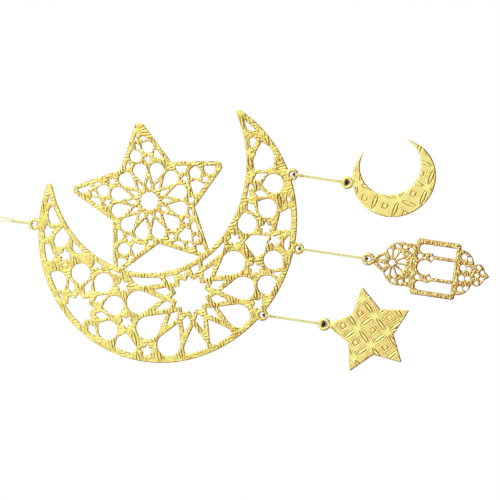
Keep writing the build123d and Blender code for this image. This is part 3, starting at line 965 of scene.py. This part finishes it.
# Painted shade: brown along the fine lines.
colour = mixed(tree, lines, colour, line_shade_brown)
# Painted shade along the cut edge.
colour = mixed(tree, own_value(tree, "cut_edge"), colour, edge_shade_brown)
tree.links.new(colour, shader.inputs["Base Color"])
print("gold has", len(tree.nodes), "nodes for its colour")

# %% [markdown]
# ## Shine
#
# The metal is nearly a mirror, and a noise makes some places a little duller than others.
# Small pits and the fine lines tilt the surface slightly, so that they catch the light.

# %% Gold: shine
rough = add_node(tree, "ShaderNodeMapRange", **{"To Min": 0.14, "To Max": 0.28})
tree.links.new(fine, rough.inputs["Value"])
tree.links.new(rough.outputs["Result"], shader.inputs["Roughness"])
grit = noise(tree, coordinates, scale=2200.0, detail=1.0)
pits = calculated(tree, "MULTIPLY", grit, tarnish)
bump = add_node(tree, "ShaderNodeBump", Strength=1.0, Distance=0.0003)
tree.links.new(calculated(tree, "SUBTRACT", pits, lines), bump.inputs["Height"])
tree.links.new(bump.outputs["Normal"], shader.inputs["Normal"])
shader.inputs["Metallic"].default_value = 1.0
for piece in embossed:
    piece.data.materials.append(gold)
print("gold on", len(embossed), "sheets")

# %% [markdown]
# ## Metallic thread
#
# The thread is spun from foil-wrapped yarn. It shines less evenly than the sheet: each ply shows
# bright flecks on a deeper gold, painted into its colour as glints over an uneven tone. A fine noise
# gives the flecks, and the twist is already in the shape. The thread's own values add the deeper
# gold near an eyelet and painted shade inside it.

# %% Gold thread
yarn_deep, yarn_bright = (0.84, 0.77, 0.26), (0.97, 0.95, 0.42)
yarn_gilt, yarn_dark = (0.84, 0.55, 0.08), (0.07, 0.018, 0.003)

yarn, tree, shader = new_material("gold_thread")
coordinates = add_node(tree, "ShaderNodeTexCoord").outputs["Object"]
glint_flecks = noise(tree, coordinates, scale=2600.0, detail=1.0)
# Partly uneven tone, partly painted glints: a fine noise brightens flecks along the plies.
colour = ramp(tree, glint_flecks, 0.35, yarn_deep, 0.65, yarn_bright)
colour = mixed(tree, own_value(tree, "gilt"), colour, yarn_gilt)
# Painted shade: near black where the thread lies inside an eyelet.
colour = mixed(tree, own_value(tree, "shade"), colour, yarn_dark)
tree.links.new(colour, shader.inputs["Base Color"])
shader.inputs["Metallic"].default_value = 0.4
shader.inputs["Roughness"].default_value = 0.5
for piece in threads:
    piece.data.materials.append(yarn)
print("thread finish on", len(threads), "pieces")

# %% [markdown]
# ## Floor and card
#
# Polished metal shows its surroundings, so they decide how it looks. White all round makes the
# flat faces bright. A brown card, bent like a gutter, lies below the ornament and rises at its
# left. It is seen only in reflections, and draws a dark line wherever an edge or a groove leans
# towards it. Its left part ends further back, so that views from that side stay bright.

# %% Floor and card
floor_colour, card_colour = (0.86, 0.86, 0.85), (0.3, 0.12, 0.02)
floor_radius, floor_level, floor_sides = 260, -420, 96
card_radius, card_level = 250, -130
card_start, card_end, open_until = 165, 325, 215
card_front, card_bend, card_back = -620, -150, 260


def stage_piece(name, points, triangles, colour):
    """Plain surface of the studio, in millimetres."""
    piece = piece_from_arrays(name, points, triangles)
    material, tree, shader = new_material(name)
    shader.inputs["Base Color"].default_value = (*colour, 1)
    shader.inputs["Roughness"].default_value = 0.9
    piece.data.materials.append(material)
    return piece


angle = np.linspace(0, 2 * pi, floor_sides, endpoint=False)
disc = np.column_stack([
    floor_radius * np.cos(angle), floor_radius * np.sin(angle), np.full(floor_sides, floor_level),
])
rim = np.arange(1, floor_sides - 1)
stage_piece("floor", disc, np.column_stack([np.zeros_like(rim), rim, rim + 1]), floor_colour)

degrees = np.arange(card_start, card_end + 1)
around, depth = np.meshgrid(degrees, (card_front, card_bend, card_back))
angle = np.radians(around.ravel())
bent = np.column_stack([
    card_radius * np.cos(angle), depth.ravel(), card_level + card_radius * np.sin(angle),
])
corner = np.arange(around.size).reshape(around.shape)
left_open = (around < open_until) & (depth == card_front)
a = corner[:-1, :-1][~left_open[:-1, :-1]]
b = a + around.shape[1]
card_faces = np.concatenate([np.column_stack([a, b, b + 1]), np.column_stack([a, b + 1, a + 1])])
card = stage_piece("dark_card", bent, card_faces, card_colour)
card.visible_camera = False
card.visible_shadow = False
card.visible_diffuse = False

# %% [markdown]
# ## Lamp and room
#
# A wide lamp in front at the right, which is above the ornament in the picture, lights the other
# side of the grooves. The room is white. Where the camera or a reflection looks straight at it,
# it is pure white, and its light on the thread and the floor is a little weaker.

# %% Lamp and world
lamp_size, lamp_energy, lamp_place = 0.5, 2.2, (0.55, -0.62, 0.22)
room_strength, seen_strength = 0.7, 1.0

lamp_data = bpy.data.lights.new("wide_lamp", "AREA")
lamp_data.shape = "DISK"
lamp_data.size = lamp_size
lamp_data.energy = lamp_energy
lamp = bpy.data.objects.new("wide_lamp", lamp_data)
lamp.location = Vector(lamp_place)
lamp.rotation_euler = (picture_centre - lamp.location).to_track_quat("-Z", "Y").to_euler()
scene.collection.objects.link(lamp)

world = bpy.data.worlds.new("studio")
world.use_nodes = True
scene.world = world
tree = world.node_tree
tree.nodes.clear()
paths = add_node(tree, "ShaderNodeLightPath").outputs
seen = calculated(tree, "MAXIMUM", paths["Is Camera Ray"], paths["Is Glossy Ray"])
seen = calculated(tree, "MAXIMUM", seen, paths["Is Transmission Ray"])
room = add_node(tree, "ShaderNodeBackground", Color=(1, 1, 1, 1), Strength=room_strength)
white = add_node(tree, "ShaderNodeBackground", Color=(1, 1, 1, 1), Strength=seen_strength)
both = add_node(tree, "ShaderNodeMixShader")
tree.links.new(seen, both.inputs["Fac"])
tree.links.new(room.outputs[0], both.inputs[1])
tree.links.new(white.outputs[0], both.inputs[2])
output = add_node(tree, "ShaderNodeOutputWorld")
tree.links.new(both.outputs[0], output.inputs["Surface"])
scene.view_settings.view_transform = "Standard"
print("studio ready")
